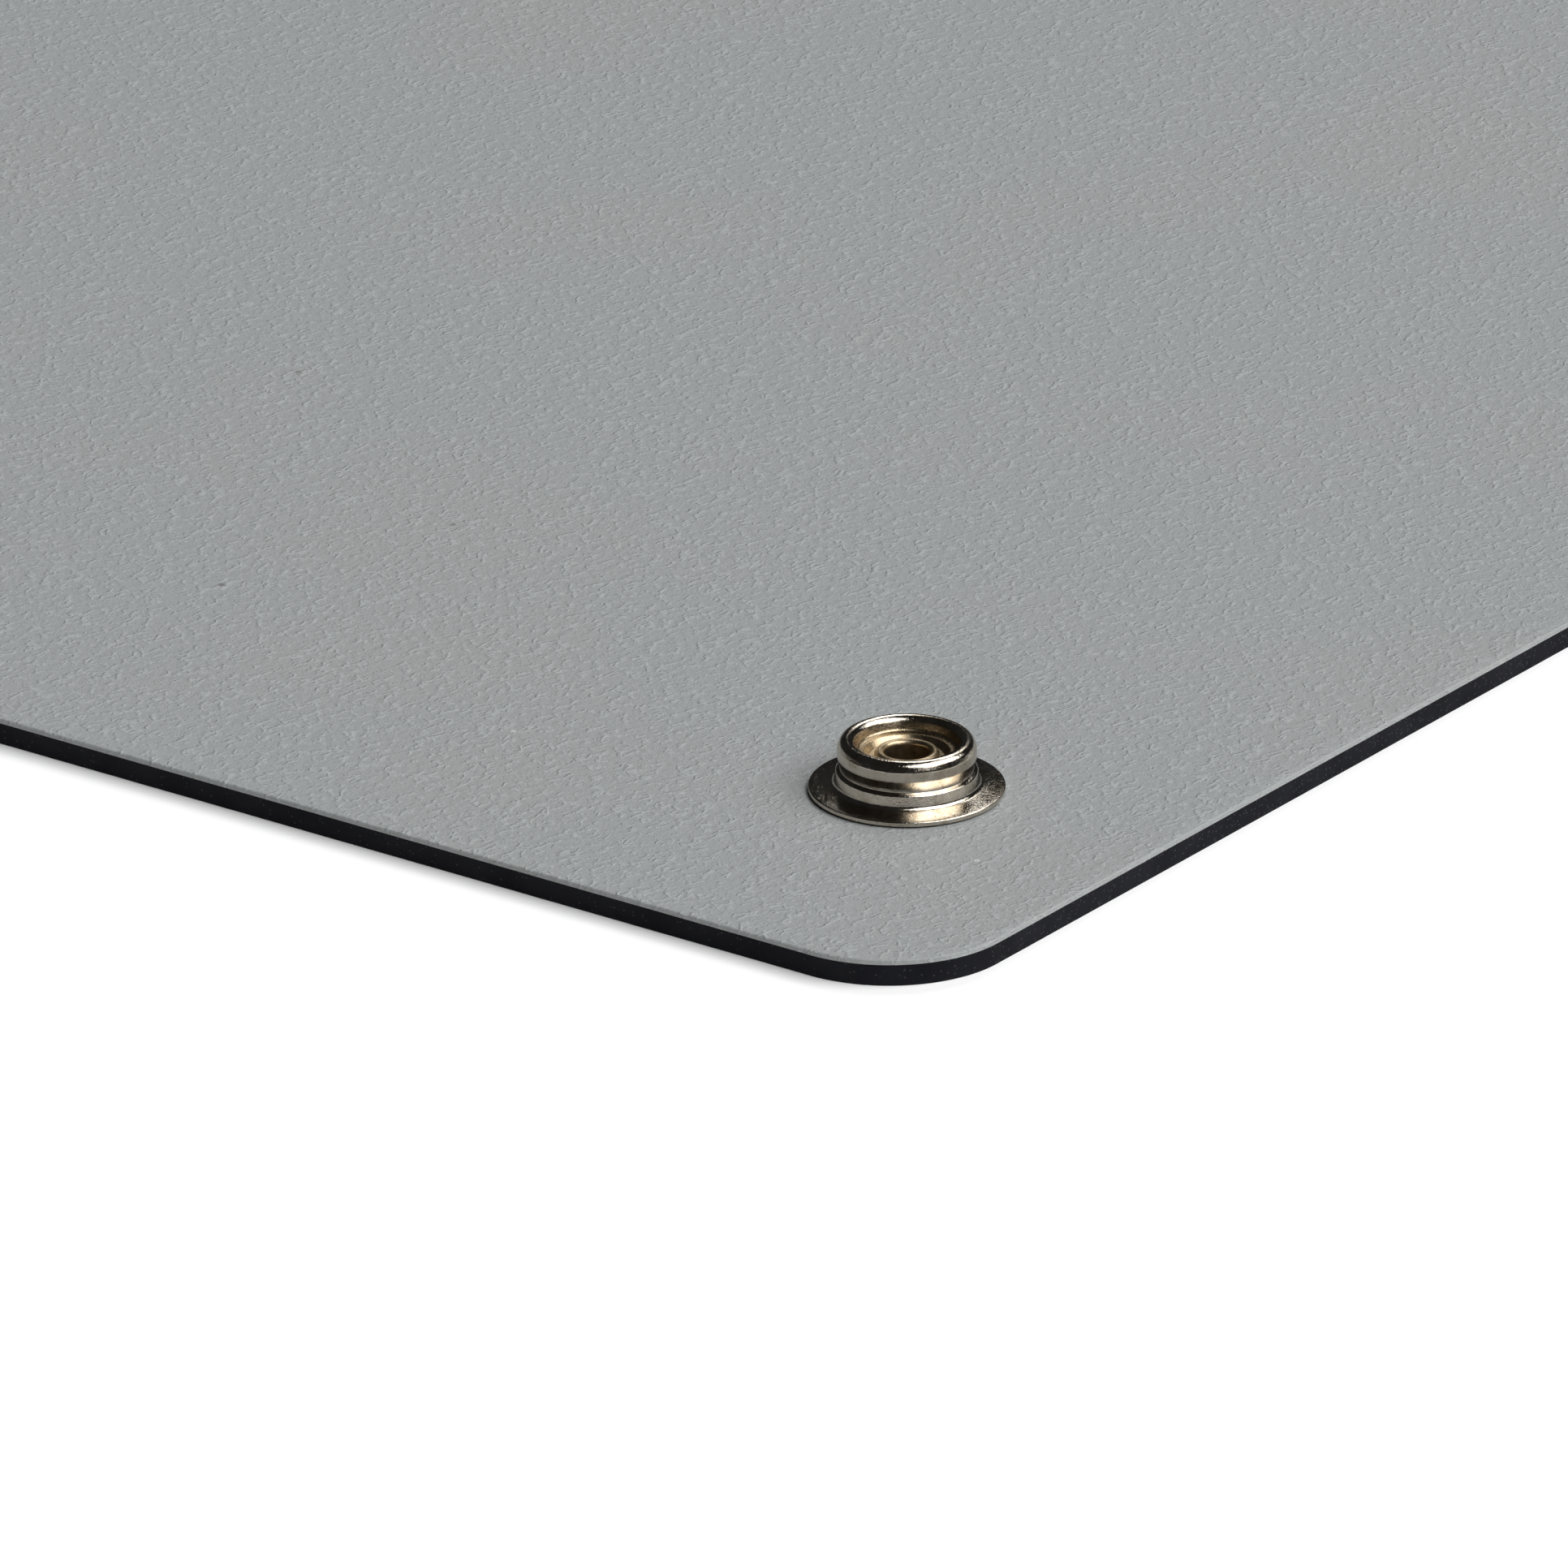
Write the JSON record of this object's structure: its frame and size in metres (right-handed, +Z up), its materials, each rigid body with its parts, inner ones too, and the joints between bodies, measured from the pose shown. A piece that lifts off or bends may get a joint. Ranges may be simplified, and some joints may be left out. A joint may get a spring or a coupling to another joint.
{
  "type": "anti static bench mat",
  "caption": "Flat rectangular rubber bench mat with rounded corners, a grey dissipative face bonded on a black conductive base, and metal snap studs near the front corners for an earth lead.",
  "frame": {"origin": "centre of the mat's underside, on the surface it lies on", "axes": "+X along the long edge, +Y across the mat from the edge with the snap studs to the opposite edge, +Z up out of the grey face"},
  "size_m": [0.9, 0.6, 0.0061],
  "materials": {
    "grey_rubber": "matt grey rubber with a fine leather-like emboss",
    "black_rubber": "matt black carbon-filled rubber, cut edge slightly grainy",
    "stud_nickel": "bright nickel plate on pressed metal, lightly scuffed",
    "eyelet_nickel": "nickel plate with a warm tone"
  },
  "bodies": {
    "root": {"conductive_base_layer": "black_rubber", "dissipative_top_layer": "grey_rubber", "snap_stud_right": "stud_nickel", "snap_stud_left": "stud_nickel", "stud_eyelet_right": "eyelet_nickel", "stud_eyelet_left": "eyelet_nickel"}
  },
  "joints": []
}
